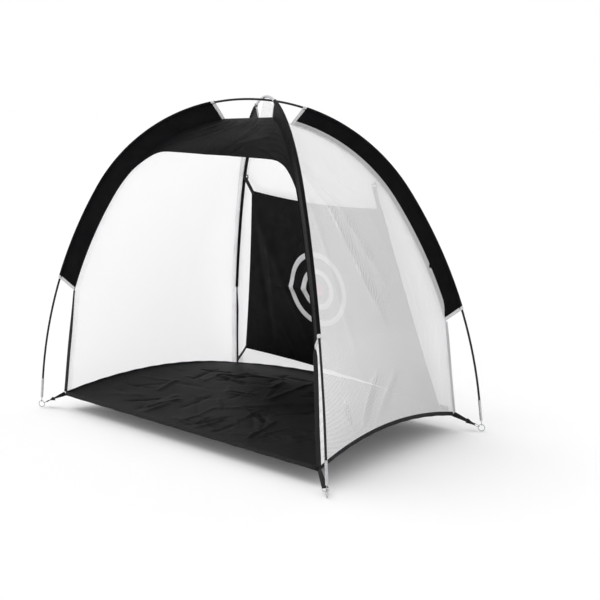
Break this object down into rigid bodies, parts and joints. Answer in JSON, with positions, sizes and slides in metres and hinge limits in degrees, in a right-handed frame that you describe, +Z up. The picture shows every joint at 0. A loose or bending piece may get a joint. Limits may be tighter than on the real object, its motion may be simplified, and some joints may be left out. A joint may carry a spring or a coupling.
{
  "type": "golf chipping net",
  "caption": "Free-standing pop-up net with two crossed flexible poles, mesh side and back walls, a raised floor sheet and a hanging ringed target for short golf shots.",
  "frame": {"origin": "centre of the footprint, on the ground", "axes": "+X to the right along the open front as seen by the golfer, +Y from the open front to the back, +Z up"},
  "size_m": [3, 1.75, 2.28],
  "materials": {
    "silver_tube": "bright drawn",
    "rod_black": "satin",
    "steel_wire": "zinc plated",
    "elastic_white": "braided",
    "oxford_black": "matte woven",
    "webbing_black": "ribbed woven",
    "mesh_white": "knitted net",
    "binding_white": "woven tape",
    "ring_white": "woven",
    "bull_red": "woven",
    "plastic_black": "moulded"
  },
  "bodies": {
    "net": {"end_tube_fl": "silver_tube", "end_tube_fr": "silver_tube", "end_tube_br": "silver_tube", "end_tube_bl": "silver_tube", "leg_rod_fl": "rod_black", "leg_rod_fr": "rod_black", "leg_rod_br": "rod_black", "leg_rod_bl": "rod_black", "crown_rod": "rod_black", "crown_tube": "silver_tube", "join_sleeve_fl": "silver_tube", "join_sleeve_br": "silver_tube", "shock_cord_under": "elastic_white", "shock_cord_over": "elastic_white", "foot_strap_fl": "webbing_black", "foot_strap_fr": "webbing_black", "foot_strap_br": "webbing_black", "foot_strap_bl": "webbing_black", "band_fl": "oxford_black", "band_fr": "oxford_black", "band_br": "oxford_black", "band_bl": "oxford_black", "band_trim_fl": "binding_white", "band_trim_fr": "binding_white", "band_trim_br": "binding_white", "band_trim_bl": "binding_white", "corner_tape_fl": "webbing_black", "corner_tape_fr": "webbing_black", "corner_tape_br": "webbing_black", "corner_tape_bl": "webbing_black", "wall_right": "mesh_white", "wall_back": "mesh_white", "wall_left": "mesh_white", "valance": "oxford_black", "floor_sheet": "oxford_black", "floor_hem": "webbing_black", "target_tab_r": "webbing_black", "target_tab_l": "webbing_black", "target_strap_low_r": "webbing_black", "target_strap_low_l": "webbing_black"},
    "target": {"target_sheet": "oxford_black", "target_ring_outer": "ring_white", "target_ring_inner": "ring_white", "target_bull": "bull_red", "target_slider_r": "plastic_black", "target_slider_l": "plastic_black", "target_strap_top_r": "webbing_black", "target_strap_top_l": "webbing_black"},
    "foot_fl": {"foot_pin_fl": "steel_wire", "foot_ring_fl": "steel_wire"},
    "foot_fr": {"foot_pin_fr": "steel_wire", "foot_ring_fr": "steel_wire"},
    "foot_br": {"foot_pin_br": "steel_wire", "foot_ring_br": "steel_wire"},
    "foot_bl": {"foot_pin_bl": "steel_wire", "foot_ring_bl": "steel_wire"},
    "link_fl": {"foot_link_fl": "steel_wire"},
    "link_fr": {"foot_link_fr": "steel_wire"},
    "link_br": {"foot_link_br": "steel_wire"},
    "link_bl": {"foot_link_bl": "steel_wire"}
  },
  "joints": [
    {"name": "target_swing", "type": "hinge", "parent": "net", "child": "target", "pos_m": [0, 0.46598, 1.68], "axis": [1, 0, 0], "range_deg": [0, 2.6], "deforming": ["target_strap_low_r", "target_strap_low_l"]},
    {"name": "foot_swivel_fl", "type": "hinge", "parent": "net", "child": "foot_fl", "pos_m": [-1.47841, -0.86058, 0.0475], "axis": [0.0887, 0.0554, 0.9945], "range_deg": [-10, 10]},
    {"name": "link_lift_fl", "type": "hinge", "parent": "net", "child": "link_fl", "pos_m": [-1.43788, -0.83528, 0.0465], "axis": [-0.5296, 0.8483, 0], "range_deg": [0, 8]},
    {"name": "foot_swivel_fr", "type": "hinge", "parent": "net", "child": "foot_fr", "pos_m": [1.47841, -0.86058, 0.0475], "axis": [-0.0887, 0.0554, 0.9945], "range_deg": [-10, 10]},
    {"name": "link_lift_fr", "type": "hinge", "parent": "net", "child": "link_fr", "pos_m": [1.43788, -0.83528, 0.0465], "axis": [-0.5296, -0.8483, 0], "range_deg": [0, 8]},
    {"name": "foot_swivel_br", "type": "hinge", "parent": "net", "child": "foot_br", "pos_m": [1.27841, 0.86058, 0.0475], "axis": [-0.0887, -0.0554, 0.9945], "range_deg": [-10, 10]},
    {"name": "link_lift_br", "type": "hinge", "parent": "net", "child": "link_br", "pos_m": [1.23788, 0.83528, 0.0465], "axis": [0.5296, -0.8483, 0], "range_deg": [0, 8]},
    {"name": "foot_swivel_bl", "type": "hinge", "parent": "net", "child": "foot_bl", "pos_m": [-1.27841, 0.86058, 0.0475], "axis": [0.0887, -0.0554, 0.9945], "range_deg": [-10, 10]},
    {"name": "link_lift_bl", "type": "hinge", "parent": "net", "child": "link_bl", "pos_m": [-1.23788, 0.83528, 0.0465], "axis": [0.5296, 0.8483, 0], "range_deg": [0, 8]}
  ]
}
